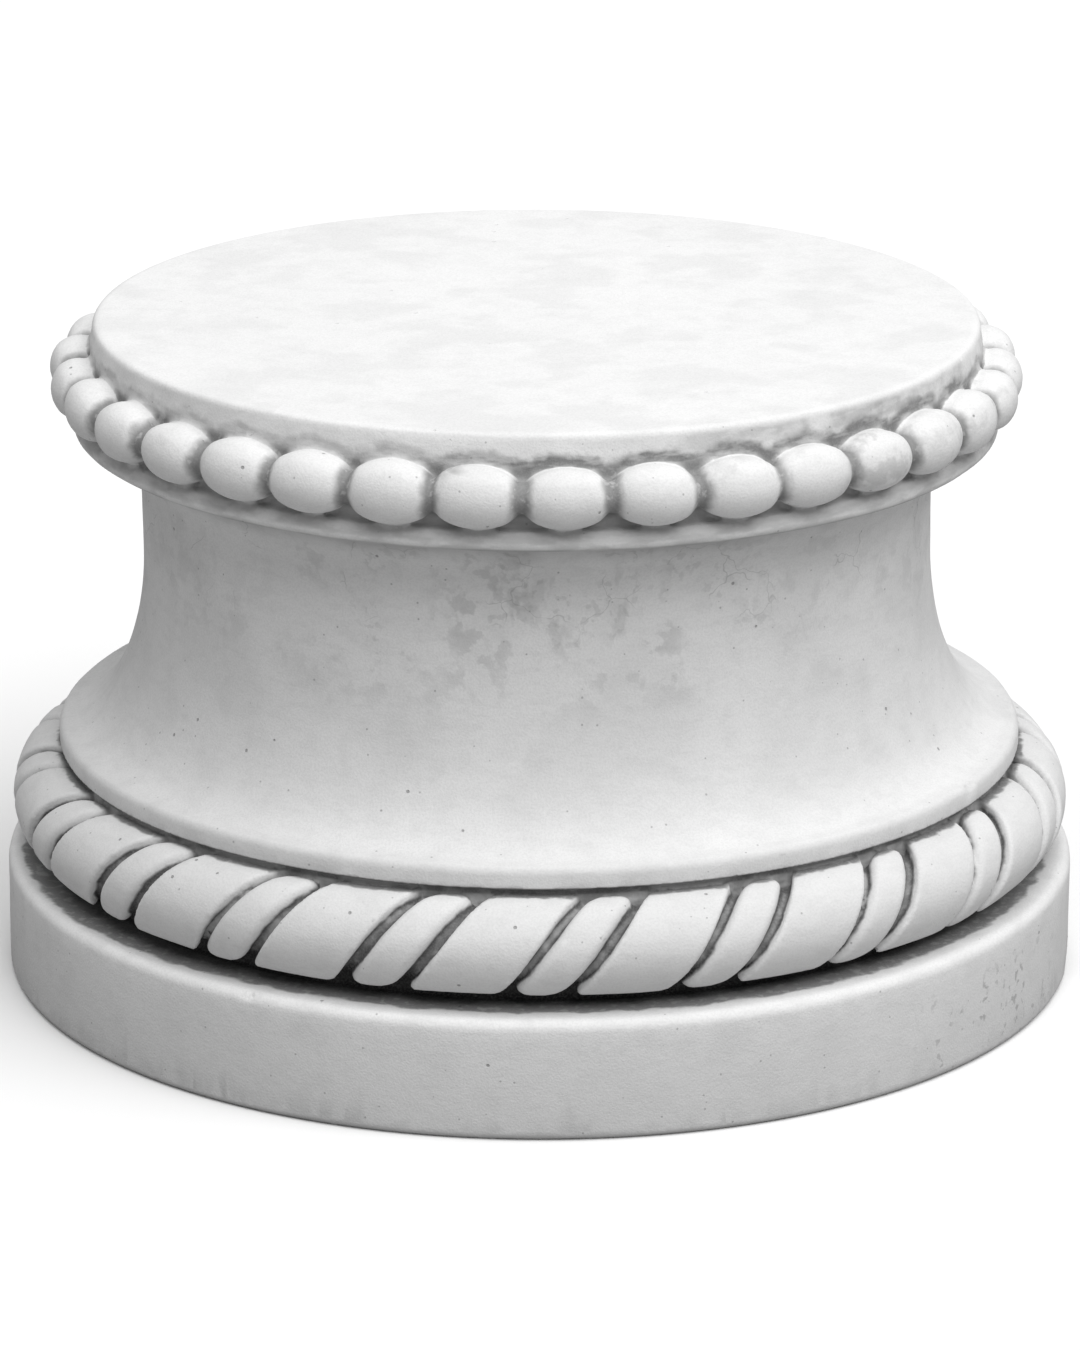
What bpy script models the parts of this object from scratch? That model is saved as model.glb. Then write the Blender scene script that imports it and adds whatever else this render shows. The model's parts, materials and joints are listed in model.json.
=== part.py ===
"""A low round garden pedestal in white cast stone, made in one piece.

It is a turned form with two carved courses. From the ground up: a plain base drum, a
twisted rope, a rim that a hollow neck rises from, a thin lip, a course of beads and a
flat disc. The rope has wide flat strands and narrow round ones by turns.

The skin is made as rings of points, one below the other, joined by bands of faces.
Plain mouldings have few points in a ring, and the beads and the rope have more.
Lengths are metres. The axis is Z, the underside stands on Z = 0, and angles round the
axis are counted from -Y, the front, towards +X.
"""

import math

import bmesh
import bpy

# Base drum
BASE_RADIUS = 0.2300
BASE_HEIGHT = 0.0512
BASE_ARRIS = 0.0035
FOOT_ARRIS = 0.0020

# Rope, which lies on the base drum a little back from its edge
ROPE_THICKNESS = 0.0418
ROPE_SETBACK = 0.0030
ROPE_CHANNEL = 0.0032
WIDE_STRAND = 0.0380
NARROW_STRAND = 0.0198
STRAND_GROOVE = 0.0067
GROOVE_DEPTH = 0.0050
NARROW_ROUNDING = 0.0014
STRAND_RUN = 0.0380
ROPE_START = math.radians(-5.6)

# Rim that the neck rises from
RIM_GAP = 0.0043
RIM_HEIGHT = 0.0095
RIM_RADIUS = 0.2040
RIM_ARRIS = 0.0030
RIM_UNDERCUT = 0.0045

# Neck: a straight waist with a flare below it and a cavetto above it
NECK_RADIUS = 0.1682
FLARE_HEIGHT = 0.0750
WAIST_HEIGHT = 0.0240
CAVETTO_HEIGHT = 0.0280

# Lip and the crease between it and the beads
LIP_RADIUS = 0.1965
LIP_HEIGHT = 0.0070
LIP_ROUNDING = 0.0035
LIP_OVERHANG = 0.0083
CREASE_HEIGHT = 0.0020
CREASE_DEPTH = 0.0045

# Beads, each joined to the next by a thin web
BEAD_LENGTH = 0.0358
BEAD_HEIGHT = 0.0280
BEAD_DEPTH = 0.0122
BEAD_STANDOFF = 0.0053
BEAD_WEB = 0.0032
BEAD_MARGIN = 0.0010
BEAD_START = math.radians(4.0)

# Top disc, whose side spreads a little downwards
DISC_RADIUS = 0.1880
DISC_HEIGHT = 0.0090
DISC_ARRIS = 0.0030
DISC_SPLAY = 0.0010

# How finely the skin is divided
PLAIN_COLUMNS = 40
ARRIS_ROWS = 2
LIP_ROWS = 4
CAVETTO_ROWS = 4
FLARE_ROWS = 7
BEAD_COLUMNS = 5
BEAD_ROWS = 6
ROPE_ROWS = 8

# Where strands begin and end on the rope's section, as angles up from its outermost
# line, and how much further round the groove behind them goes
STRAND_TOP = math.radians(97)
STRAND_BOTTOM = math.radians(-92)
ROPE_BACK = math.radians(18)

STONE_COLOUR = (0.78, 0.77, 0.75, 1.0)
STONE_ROUGHNESS = 0.85
SMOOTH_ANGLE = math.radians(35)


def front_point(angle, radius, height):
    """The point at an angle round the axis from the front."""
    return (radius * math.sin(angle), -radius * math.cos(angle), height)


def plain_ring(radius, height):
    """A circle of points for the plain mouldings."""
    turn = math.tau / PLAIN_COLUMNS
    return [front_point(turn * column, radius, height) for column in range(PLAIN_COLUMNS)]


def arc(centre_radius, centre_height, across, up, first, last, rows):
    """Plain rings down a part of an ellipse, between two angles of its own in degrees."""
    rings = []
    for row in range(rows + 1):
        angle = math.radians(first + (last - first) * row / rows)
        radius = centre_radius + across * math.cos(angle)
        height = centre_height + up * math.sin(angle)
        rings.append(plain_ring(radius, height))
    return rings


def rounded_edge(radius, top, rounding):
    """Plain rings over a quarter round, from a flat top out to an upright side."""
    return arc(radius - rounding, top - rounding, rounding, rounding, 90, 0, ARRIS_ROWS)


def disc(top):
    """The top disc: a rounded upper edge and a short side."""
    side = plain_ring(DISC_RADIUS + DISC_SPLAY, top - DISC_HEIGHT)
    return [*rounded_edge(DISC_RADIUS, top, DISC_ARRIS), side]


def bead_course(middle):
    """The rings of the beads, from the line above them to the line below them.

    A column of points goes round the outer half of a bead, from its top to its
    underside. Its half circle shrinks from the middle of the bead to the web."""
    seat = DISC_RADIUS + DISC_SPLAY
    ring_radius = seat + BEAD_STANDOFF
    count = round(math.tau * ring_radius / BEAD_LENGTH)
    half_pitch = math.pi / count
    narrowing = math.sqrt(1 - (BEAD_WEB / BEAD_DEPTH) ** 2)
    columns = []
    for bead in range(count):
        for step in range(BEAD_COLUMNS):
            along = -math.cos(math.pi * step / BEAD_COLUMNS)
            size = math.sqrt(1 - (along * narrowing) ** 2)
            columns.append((BEAD_START + half_pitch * (2 * bead + along), size))
    rings = []
    half_height = BEAD_HEIGHT / 2
    for row in range(BEAD_ROWS + 1):
        round_it = math.pi * (0.5 - row / BEAD_ROWS)
        rings.append(
            [
                front_point(
                    angle,
                    ring_radius + BEAD_DEPTH * size * math.cos(round_it),
                    middle + half_height * size * math.sin(round_it),
                )
                for angle, size in columns
            ]
        )
    above = [front_point(angle, seat, middle + half_height * size) for angle, size in columns]
    below = [front_point(angle, seat, middle - half_height * size) for angle, size in columns]
    return [above, *rings, below]


def lip(top):
    """The crease under the beads and the rounded lip below it."""
    crease = plain_ring(LIP_RADIUS - CREASE_DEPTH, top + CREASE_HEIGHT / 2)
    inner = LIP_RADIUS - LIP_ROUNDING
    half_height = LIP_HEIGHT / 2
    rounded = arc(inner, top - half_height, LIP_ROUNDING, half_height, 90, -90, LIP_ROWS)
    return [crease, *rounded]


def neck(top):
    """The cavetto, the waist and the flare, down to where the rim begins."""
    waist_top = top - CAVETTO_HEIGHT
    flare_top = waist_top - WAIST_HEIGHT
    overhang = LIP_RADIUS - LIP_OVERHANG
    foot = RIM_RADIUS - RIM_ARRIS
    hollow = NECK_RADIUS - overhang
    spread = NECK_RADIUS - foot
    cavetto = arc(overhang, waist_top, hollow, CAVETTO_HEIGHT, 90, 0, CAVETTO_ROWS)
    flare = arc(foot, flare_top, spread, FLARE_HEIGHT, 0, -90, FLARE_ROWS)
    return cavetto + flare


def rim(top):
    """The rim under the flare: a rounded upper edge, a short side and an undercut."""
    upper_edge = rounded_edge(RIM_RADIUS, top, RIM_ARRIS)
    under = top - RIM_HEIGHT
    side = plain_ring(RIM_RADIUS, under)
    undercut = plain_ring(RIM_RADIUS - RIM_UNDERCUT, under)
    # The flare ends on the first point of the upper edge.
    return [*upper_edge[1:], side, undercut]


def strand_columns():
    """How the rope is divided round the axis: (angle, depth, rounding) for each column.

    Depth is 1 in a groove. Rounding is 1 on the edges of a narrow strand, where the
    surface falls away and the ends are rounded off."""
    outer = BASE_RADIUS - ROPE_SETBACK
    pair = WIDE_STRAND + NARROW_STRAND + 2 * STRAND_GROOVE
    count = round(math.tau * outer / pair)
    turn = math.tau / count
    wide_edge = WIDE_STRAND / 2
    narrow_start = wide_edge + STRAND_GROOVE
    narrow_end = narrow_start + NARROW_STRAND
    cuts = (
        (-wide_edge, 0, 0),
        (0, 0, 0),
        (wide_edge, 0, 0),
        (wide_edge + STRAND_GROOVE / 2, 1, 0),
        (narrow_start, 0, 1),
        (narrow_start + NARROW_STRAND / 3, 0, 0),
        (narrow_end - NARROW_STRAND / 3, 0, 0),
        (narrow_end, 0, 1),
        (narrow_end + STRAND_GROOVE / 2, 1, 0),
    )
    return [
        (turn * (strand + along / pair), depth, rounding)
        for strand in range(count)
        for along, depth, rounding in cuts
    ]


def rope(middle):
    """The rings of the rope, from behind its top to behind its underside.

    The strands lean: each ring is turned a little from the one above it."""
    thick = ROPE_THICKNESS / 2
    outer = BASE_RADIUS - ROPE_SETBACK
    ring_radius = outer - thick
    lean = STRAND_RUN / outer / math.pi
    columns = strand_columns()
    sections = [(STRAND_TOP + ROPE_BACK, 1, 0)]
    for row in range(ROPE_ROWS + 1):
        share = row / ROPE_ROWS
        end = 1 if row in (0, ROPE_ROWS) else 0
        sections.append((STRAND_TOP + (STRAND_BOTTOM - STRAND_TOP) * share, 0, end))
    sections.append((STRAND_BOTTOM - ROPE_BACK, 1, 0))
    rings = []
    for round_it, behind, end in sections:
        ring = []
        for angle, depth, rounding in columns:
            cut = GROOVE_DEPTH * max(depth, behind)
            if rounding and not behind:
                cut = GROOVE_DEPTH if end else NARROW_ROUNDING
            reach = thick - cut
            ring.append(
                front_point(
                    ROPE_START + angle + lean * round_it,
                    ring_radius + reach * math.cos(round_it),
                    middle + reach * math.sin(round_it),
                )
            )
        rings.append(ring)
    return rings


def base():
    """The ledge under the rope, the base drum and its foot."""
    thick = ROPE_THICKNESS / 2
    ring_radius = BASE_RADIUS - ROPE_SETBACK - thick
    behind = ring_radius + (thick - GROOVE_DEPTH) * math.cos(STRAND_BOTTOM - ROPE_BACK)
    ledge = plain_ring(behind, BASE_HEIGHT)
    upper_edge = rounded_edge(BASE_RADIUS, BASE_HEIGHT, BASE_ARRIS)
    foot = [plain_ring(BASE_RADIUS, FOOT_ARRIS), plain_ring(BASE_RADIUS - FOOT_ARRIS, 0)]
    return [ledge, *upper_edge, *foot]


def stacked_rings():
    """Every ring of the pedestal from the top down, each moulding on the one below."""
    rope_middle = BASE_HEIGHT + ROPE_CHANNEL + ROPE_THICKNESS / 2
    rim_top = rope_middle + ROPE_THICKNESS / 2 + RIM_GAP + RIM_HEIGHT
    neck_top = rim_top + FLARE_HEIGHT + WAIST_HEIGHT + CAVETTO_HEIGHT
    lip_top = neck_top + LIP_HEIGHT
    bead_middle = lip_top + CREASE_HEIGHT + BEAD_HEIGHT / 2
    top = bead_middle + BEAD_HEIGHT / 2 + BEAD_MARGIN + DISC_HEIGHT
    return (
        disc(top)
        + bead_course(bead_middle)
        + lip(lip_top)
        + neck(neck_top)
        + rim(rim_top)
        + rope(rope_middle)
        + base()
    )


def angle_of(vertex):
    """The angle round the axis from the front, from 0 to a full turn."""
    return math.atan2(vertex.co.x, -vertex.co.y) % math.tau


def join_even(mesh, upper, lower):
    """Four-sided faces between two rings with as many points."""
    for column in range(len(upper)):
        after = (column + 1) % len(upper)
        mesh.faces.new((upper[column], lower[column], lower[after], upper[after]))


def join_uneven(mesh, upper, lower):
    """Triangles between two rings with different numbers of points.

    Both rings are walked from the front, and the one that is behind takes a step."""
    upper = sorted(upper, key=angle_of)
    lower = sorted(lower, key=angle_of)
    upper_angles = [angle_of(vertex) for vertex in upper]
    lower_angles = [angle_of(vertex) for vertex in lower]
    upper_angles.append(upper_angles[0] + math.tau)
    lower_angles.append(lower_angles[0] + math.tau)
    across = 0
    below = 0
    while across < len(upper) or below < len(lower):
        here = upper[across % len(upper)]
        under = lower[below % len(lower)]
        step_above = below == len(lower) or (
            across < len(upper) and upper_angles[across + 1] <= lower_angles[below + 1]
        )
        if step_above:
            across += 1
            mesh.faces.new((here, under, upper[across % len(upper)]))
        else:
            below += 1
            mesh.faces.new((here, under, lower[below % len(lower)]))


def stone():
    """Matt white cast stone."""
    material = bpy.data.materials.new("cast_stone")
    material.use_nodes = True
    shader = material.node_tree.nodes["Principled BSDF"]
    shader.inputs["Base Color"].default_value = STONE_COLOUR
    shader.inputs["Roughness"].default_value = STONE_ROUGHNESS
    shader.inputs["Metallic"].default_value = 0.0
    return material


def pedestal():
    """Skin the rings, close the top and the underside, and place the object."""
    mesh = bmesh.new()
    rings = [[mesh.verts.new(point) for point in ring] for ring in stacked_rings()]
    for upper, lower in zip(rings, rings[1:]):
        join = join_even if len(upper) == len(lower) else join_uneven
        join(mesh, upper, lower)
    mesh.faces.new(rings[0])
    mesh.faces.new(reversed(rings[-1]))
    bmesh.ops.remove_doubles(mesh, verts=mesh.verts, dist=1e-6)
    bmesh.ops.recalc_face_normals(mesh, faces=mesh.faces)
    data = bpy.data.meshes.new("pedestal")
    mesh.to_mesh(data)
    mesh.free()
    data.shade_smooth()
    data.set_sharp_from_angle(angle=SMOOTH_ANGLE)
    data.materials.append(stone())
    thing = bpy.data.objects.new("pedestal", data)
    bpy.context.collection.objects.link(thing)
    return thing


def main():
    for left_over in list(bpy.data.objects):
        bpy.data.objects.remove(left_over, do_unlink=True)
    pedestal()


main()
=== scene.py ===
# %% [markdown]
# # A round garden pedestal in white cast stone
# The real pedestal is one casting. Its mould was made from a turned model with two carved
# courses laid round it: a row of beads under the top, and a twisted rope on the base.
# So this lesson works in the same order. It turns the plain mouldings first, carves one bead
# and two rope strands, sets copies of them round the body, and then casts everything as one
# skin. Weather and dirt come last, as they do on the real thing, together with painted shade.
# The measured frame comes first. Everything here is in metres and stands in that frame.

# %% Load the frame
import json
import math
import random

import bmesh
import bpy
import numpy as np
from mathutils import Matrix, Vector
from mathutils.bvhtree import BVHTree

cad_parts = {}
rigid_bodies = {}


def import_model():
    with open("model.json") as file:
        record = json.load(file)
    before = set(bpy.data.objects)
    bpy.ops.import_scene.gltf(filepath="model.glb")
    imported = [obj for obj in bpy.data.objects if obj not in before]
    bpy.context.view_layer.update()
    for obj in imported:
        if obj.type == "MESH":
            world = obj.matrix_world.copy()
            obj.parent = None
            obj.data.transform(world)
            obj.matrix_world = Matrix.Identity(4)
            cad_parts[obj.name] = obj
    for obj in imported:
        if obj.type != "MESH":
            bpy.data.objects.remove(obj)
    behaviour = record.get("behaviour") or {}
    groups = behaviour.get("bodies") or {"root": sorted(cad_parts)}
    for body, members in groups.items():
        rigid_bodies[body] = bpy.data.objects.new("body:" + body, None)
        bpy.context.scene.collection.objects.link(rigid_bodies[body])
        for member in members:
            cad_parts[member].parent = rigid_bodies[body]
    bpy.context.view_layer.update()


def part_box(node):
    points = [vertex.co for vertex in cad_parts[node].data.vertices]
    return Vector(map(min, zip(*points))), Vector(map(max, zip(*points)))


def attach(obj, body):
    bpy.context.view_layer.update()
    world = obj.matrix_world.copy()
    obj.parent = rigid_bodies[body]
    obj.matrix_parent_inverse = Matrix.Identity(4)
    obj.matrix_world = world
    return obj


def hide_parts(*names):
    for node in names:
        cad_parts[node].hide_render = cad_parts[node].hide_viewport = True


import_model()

frame_low, frame_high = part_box("pedestal")
print("The frame's box:", tuple(frame_low), tuple(frame_high))

# %% [markdown]
# ## Working as by hand
# Blender's operators act on whatever is selected, and the frame comes in selected. The first
# helper puts everything else down and picks one object up. Two more go in and out of edit
# mode. Inside it, edges are selected by a test of the places of their two ends, because a
# number of an edge changes with every step before it. The last gives an object a modifier.


# %% Pick things up and work on them
def pick_up(thing):
    """Make one object the only selected one and the active one."""
    bpy.ops.object.select_all(action="DESELECT")
    thing.select_set(True)
    bpy.context.view_layer.objects.active = thing


def open_up(thing):
    """Pick an object up and go into edit mode with all of it selected."""
    pick_up(thing)
    bpy.ops.object.mode_set(mode="EDIT")
    bpy.ops.mesh.select_all(action="SELECT")


def close_up():
    """Point all faces outwards and leave edit mode."""
    bpy.ops.mesh.select_all(action="SELECT")
    bpy.ops.mesh.normals_make_consistent(inside=False)
    bpy.ops.object.mode_set(mode="OBJECT")


def select_edges_where(test):
    """In edit mode, select the edges whose two ends pass a test, and no others."""
    data = bpy.context.object.data
    mesh = bmesh.from_edit_mesh(data)
    for edge in mesh.edges:
        edge.select_set(test(edge.verts[0].co, edge.verts[1].co))
    mesh.select_flush_mode()
    bmesh.update_edit_mesh(data)


def add_modifier(thing, kind, **settings):
    """Give an object a modifier with these settings and apply it."""
    pick_up(thing)
    modifier = thing.modifiers.new(kind.lower(), kind)
    for name, value in settings.items():
        setattr(modifier, name, value)
    bpy.ops.object.modifier_apply(modifier=modifier.name)


# %% [markdown]
# ## The camera
# The picture was taken from in front, about eighteen degrees above level, from far enough
# away for the circles to stay nearly true ellipses. A long lens from 2.8 metres gives that.
# The camera aims at a point on the axis, and it is tipped a tenth of a degree to one side,
# as a camera held by hand is.

# %% Set up the camera
CAMERA_RISE = math.radians(17.92)
CAMERA_DISTANCE = 2.76
CAMERA_TILT = math.radians(0.126)
AIM_HEIGHT = 0.1232
LENS = 170.7

camera = bpy.data.objects.new("camera", bpy.data.cameras.new("camera"))
bpy.context.scene.collection.objects.link(camera)
away = Vector((0, -math.cos(CAMERA_RISE), math.sin(CAMERA_RISE)))
aim = (-away).to_track_quat("-Z", "Y").to_matrix().to_4x4()
camera.matrix_world = (
    Matrix.Translation(Vector((0, 0, AIM_HEIGHT)) + away * CAMERA_DISTANCE)
    @ aim
    @ Matrix.Rotation(CAMERA_TILT, 4, "Z")
)
camera.data.lens = LENS
bpy.context.scene.camera = camera
print("Camera at", tuple(round(value, 3) for value in camera.location))

# %% [markdown]
# ## A turned profile
# A turner works from the ground up, and so does this cell. The body starts as a filled
# circle on the floor. Each step pulls its top face up to a new height and opens or closes it
# to a new radius, which leaves a moulding behind. Straight parts need one step. Round parts
# are steps along an ellipse: a quarter of one makes the hollow flare of the neck, and small
# ones round the edges.
# A spin of a drawn outline would give the same body. Pulling the face up was chosen because
# every moulding can be read off the list, one line each.

# %% Sizes of the turned mouldings
SIDES = 256
BASE_RADIUS = frame_high.x
BASE_HEIGHT = 0.0512
BASE_ARRIS = 0.0045
FOOT_ARRIS = 0.0020
RIM_RADIUS = 0.2065
RIM_HEIGHT = 0.0094
RIM_ARRIS = 0.0030
RIM_UNDERCUT = 0.0045
NECK_RADIUS = 0.1682
WAIST_HEIGHT = 0.0240
CAVETTO_HEIGHT = 0.0280
LIP_RADIUS = 0.1965
LIP_HEIGHT = 0.0070
LIP_OVERHANG = 0.0083
CREASE_HEIGHT = 0.0020
CREASE_DEPTH = 0.0026
DISC_RADIUS = 0.1880
DISC_HEIGHT = 0.0090
DISC_ARRIS = 0.0030
DISC_SPLAY = 0.0010

ROPE_THICKNESS = 0.0418
ROPE_SETBACK = 0.0030
ROPE_CHANNEL = 0.0032
RIM_GAP = 0.0028
BEAD_COURSE = 0.0290
BEAD_HEIGHT = 0.0255
BEAD_SEAT = 0.0007

rope_middle = BASE_HEIGHT + ROPE_CHANNEL + ROPE_THICKNESS / 2
rim_foot = rope_middle + ROPE_THICKNESS / 2 + RIM_GAP
rim_top = rim_foot + RIM_HEIGHT
top = frame_high.z
disc_foot = top - DISC_HEIGHT
crease_top = disc_foot - BEAD_COURSE
lip_top = crease_top - CREASE_HEIGHT
neck_top = lip_top - LIP_HEIGHT
waist_top = neck_top - CAVETTO_HEIGHT
flare_top = waist_top - WAIST_HEIGHT
bead_middle = crease_top + BEAD_SEAT + BEAD_HEIGHT / 2
flare_height = flare_top - rim_top
print("The flare is", round(flare_height, 4), "high")
print("The bead course starts at", round(crease_top, 4))


# %% Draw the profile
def sweep(radius, height, across, up, first, last, steps):
    """Points along part of an ellipse, between two of its angles in degrees."""
    angles = [math.radians(first + (last - first) * step / steps) for step in range(steps + 1)]
    return [(radius + across * math.cos(a), height + up * math.sin(a)) for a in angles]


def upper_edge(radius, height, rounding):
    """A small quarter round at the top of an upright side."""
    return sweep(radius - rounding, height - rounding, rounding, rounding, 0, 90, 5)


inside_rope = RIM_RADIUS - RIM_UNDERCUT
flare_foot = RIM_RADIUS - RIM_ARRIS
overhang = LIP_RADIUS - LIP_OVERHANG
half_lip = LIP_HEIGHT / 2
behind_beads = DISC_RADIUS + DISC_SPLAY
profile = [
    (BASE_RADIUS - FOOT_ARRIS, 0),
    (BASE_RADIUS, FOOT_ARRIS),
    *upper_edge(BASE_RADIUS, BASE_HEIGHT, BASE_ARRIS),
    (inside_rope, BASE_HEIGHT),
    (inside_rope, rim_foot),
    (RIM_RADIUS, rim_foot),
    *upper_edge(RIM_RADIUS, rim_top, RIM_ARRIS),
    *sweep(flare_foot, flare_top, NECK_RADIUS - flare_foot, flare_height, -90, 0, 24)[1:],
    *sweep(overhang, waist_top, NECK_RADIUS - overhang, CAVETTO_HEIGHT, 0, 90, 12),
    *sweep(LIP_RADIUS - half_lip, lip_top - half_lip, half_lip, half_lip, -90, 90, 8),
    (LIP_RADIUS - CREASE_DEPTH, lip_top + CREASE_HEIGHT / 2),
    (behind_beads, crease_top),
    (behind_beads, disc_foot),
    *upper_edge(DISC_RADIUS, top, DISC_ARRIS),
]
print("The profile has", len(profile), "points")

# %% Turn the body
first_radius, first_height = profile[0]
bpy.ops.mesh.primitive_circle_add(
    vertices=SIDES, radius=first_radius, fill_type="NGON", location=(0, 0, first_height)
)
body = bpy.context.object
body.name = "pedestal_cast"
open_up(body)
for (radius, height), (next_radius, next_height) in zip(profile, profile[1:]):
    bpy.ops.mesh.extrude_region_move(
        TRANSFORM_OT_translate={"value": (0, 0, next_height - height)}
    )
    opening = next_radius / radius
    bpy.ops.transform.resize(value=(opening, opening, 1), center_override=(0, 0, 0))
close_up()
print("Turned body:", len(body.data.polygons), "faces")

# %% [markdown]
# ## The rope
# The rope is a ring with strands laid over it. Wide flat strands and narrow round ones take
# turns, twenty of each, and dirt sits in the grooves between them.
# A strand could be cut out of the ring, but it's easier to see the grooves as a thinner ring
# inside, and the strands as blocks on it. A block is modelled flat, like a bar of clay on a
# bench: four rounded corners, then a rounded upper edge, small on the wide strands and large
# on the narrow ones, which look like pillows. Where it starts and ends is given in degrees
# round the rope's section, counted up from level. Then it is wrapped round the section of the
# rope, each row a little further round the axis than the row below it, so that it leans. No
# hand tool of the program wraps like this exactly, so that one step is a sum for each point.

# %% Lay the ring inside the rope
WIDE_STRAND = 0.0388
NARROW_STRAND = 0.0215
STRAND_GROOVE = 0.0055
GROOVE_DEPTH = 0.0055
STRAND_THICKNESS = 0.0110
STRAND_RUN = 0.0417
STRAND_TOP = 101
WIDE_FOOT = -57
WIDE_CORNER = 0.0032
WIDE_EDGE = 0.0015
NARROW_FOOT = -66
NARROW_CORNER = 0.0096
NARROW_EDGE = 0.0048
ROW_LENGTH = 0.0020
COLUMN_WIDTH = 0.0048
ROPE_START = math.radians(-5.8)

rope_outer = BASE_RADIUS - ROPE_SETBACK
rope_ring = rope_outer - ROPE_THICKNESS / 2
pair = WIDE_STRAND + NARROW_STRAND + 2 * STRAND_GROOVE
pair_count = round(math.tau * rope_outer / pair)
pair_turn = math.tau / pair_count
bpy.ops.mesh.primitive_torus_add(
    location=(0, 0, rope_middle),
    major_radius=rope_ring,
    minor_radius=ROPE_THICKNESS / 2 - GROOVE_DEPTH,
    major_segments=SIDES,
    minor_segments=24,
)
rope_core = bpy.context.object
print("The rope has", pair_count, "pairs of strands")


# %% Carve one wide strand and one narrow one, flat
def carve_strand(name, width, foot, corner, edge):
    """A flat bar with rounded corners and a rounded upper edge, cut into short rows."""
    half_thickness = ROPE_THICKNESS / 2
    start, end = (math.radians(angle) * half_thickness for angle in (foot, STRAND_TOP))
    bpy.ops.mesh.primitive_cube_add(
        size=1,
        location=(0, (start + end) / 2, -STRAND_THICKNESS / 2),
        scale=(width, end - start, STRAND_THICKNESS),
    )
    strand = bpy.context.object
    strand.name = name
    bpy.ops.object.transform_apply()
    open_up(strand)
    bpy.ops.mesh.select_mode(type="EDGE")
    select_edges_where(lambda one, other: abs(one.z - other.z) > STRAND_THICKNESS / 2)
    bpy.ops.mesh.bevel(offset=corner, segments=7, affect="EDGES")
    select_edges_where(lambda one, other: min(one.z, other.z) > -STRAND_THICKNESS / 100)
    bpy.ops.mesh.bevel(offset=edge, segments=6, affect="EDGES")
    bpy.ops.mesh.select_mode(type="VERT")
    for row in np.arange(start, end, ROW_LENGTH)[1:]:
        bpy.ops.mesh.select_all(action="SELECT")
        bpy.ops.mesh.bisect(plane_co=(0, row, 0), plane_no=(0, 1, 0))
    for column in np.arange(-width / 2, width / 2, COLUMN_WIDTH)[1:]:
        bpy.ops.mesh.select_all(action="SELECT")
        bpy.ops.mesh.bisect(plane_co=(column, 0, 0), plane_no=(1, 0, 0))
    close_up()
    return strand


def wrap(strand):
    """Lay a flat bar round the rope's section, leaning, and centred on the line of +X."""
    lean = STRAND_RUN / rope_outer / math.pi
    for vertex in strand.data.vertices:
        across, along, depth = vertex.co
        section_angle = along / (ROPE_THICKNESS / 2)
        reach = ROPE_THICKNESS / 2 + depth
        radius = rope_ring + reach * math.cos(section_angle)
        sideways = across / rope_outer + lean * section_angle
        vertex.co.x = radius * math.cos(sideways)
        vertex.co.y = radius * math.sin(sideways)
        vertex.co.z = rope_middle + reach * math.sin(section_angle)


wide_strand = carve_strand("wide_strand", WIDE_STRAND, WIDE_FOOT, WIDE_CORNER, WIDE_EDGE)
narrow_strand = carve_strand(
    "narrow_strand", NARROW_STRAND, NARROW_FOOT, NARROW_CORNER, NARROW_EDGE
)
wrap(wide_strand)
wrap(narrow_strand)
print("Wide strand:", len(wide_strand.data.polygons), "faces")
print("Narrow strand:", len(narrow_strand.data.polygons), "faces")

# %% [markdown]
# ## The beads
# Thirty-four fat beads hang under the disc, end to end, each joined to the next by a web of
# stone. They were pressed by hand into the model, so no two sit quite alike.
# A globe made of rings would gather its points at two ends. A cube that is divided and pulled
# most of the way to a sphere has even faces, and it keeps a blunt, full shape, as the real
# beads have. The web is a ring that runs through all beads.

# %% Carve one bead
BEAD_PITCH = 0.0358
BEAD_LENGTH = 0.0374
BEAD_DEPTH = 0.0122
BEAD_STANDOFF = 0.0053
BEAD_WEB = 0.0064
BEAD_START = math.radians(3.5)
BEAD_ROUNDNESS = 0.94

bead_ring = behind_beads + BEAD_STANDOFF
bead_count = round(math.tau * bead_ring / BEAD_PITCH)
bead_turn = math.tau / bead_count
bpy.ops.mesh.primitive_cube_add(size=1)
bead = bpy.context.object
bead.name = "bead"
open_up(bead)
bpy.ops.mesh.subdivide(number_cuts=9)
bpy.ops.transform.tosphere(value=BEAD_ROUNDNESS)
close_up()
low = np.array([vertex.co for vertex in bead.data.vertices]).min(axis=0)
open_up(bead)
bpy.ops.transform.resize(
    value=(
        BEAD_LENGTH / 2 / -low[0],
        BEAD_DEPTH / -low[1],
        BEAD_HEIGHT / 2 / -low[2],
    ),
    center_override=(0, 0, 0),
)
close_up()
bpy.ops.mesh.primitive_torus_add(
    location=(0, 0, bead_middle),
    major_radius=bead_ring,
    minor_radius=BEAD_WEB,
    major_segments=SIDES,
    minor_segments=16,
)
bead_web = bpy.context.object
print("The course has", bead_count, "beads")

# %% [markdown]
# ## Setting out by hand
# Strands and beads were set out by eye, and it shows on the front: they run a little tight on
# the right. So each place of an even division gets a slip in degrees, written down for a few
# numbers and read off between them, and every copy differs a little in size and tilt.

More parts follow.
